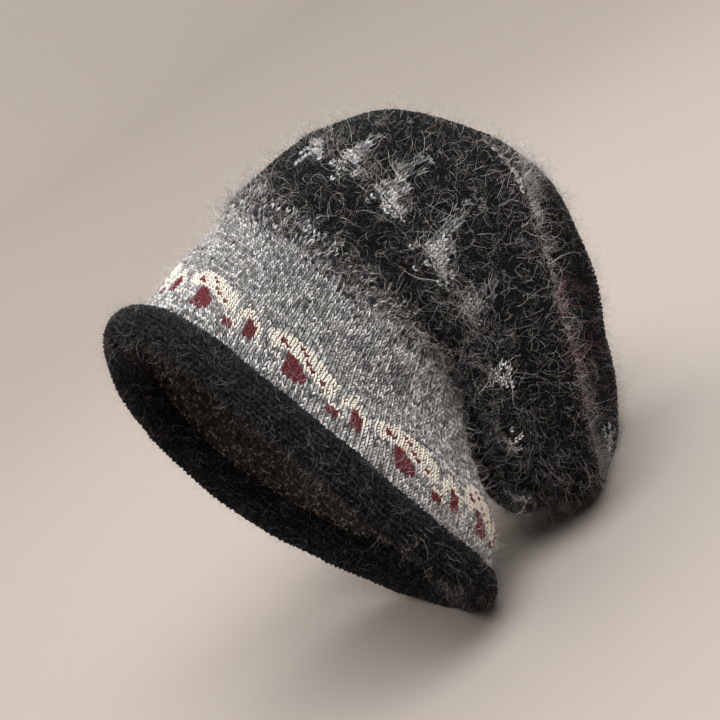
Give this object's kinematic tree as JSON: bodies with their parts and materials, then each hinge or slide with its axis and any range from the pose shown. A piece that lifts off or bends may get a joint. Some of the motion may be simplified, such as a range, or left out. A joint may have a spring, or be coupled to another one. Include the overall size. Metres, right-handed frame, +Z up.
{
  "type": "slouchy knitted beanie",
  "caption": "Slouchy mohair and wool beanie lying on its back: black rolled brim, grey marl band with toadstools, black crown bag with light radial strokes.",
  "frame": {"origin": "centre of the bounding box in X and Y, on the floor the hat lies on", "axes": "+X from the head opening towards the crown, +Z up, the hat's near side towards -Y"},
  "size_m": [0.2996, 0.292, 0.2757],
  "materials": {
    "black_wool": "felted black wool, matte",
    "grey_marl": "grey heather wool stockinette with a fine halo, matte",
    "black_mohair": "black brushed mohair with long stray fibres, matte"
  },
  "bodies": {
    "root": {"brim": "black_wool", "band": "grey_marl", "crown": "black_mohair"}
  },
  "joints": []
}
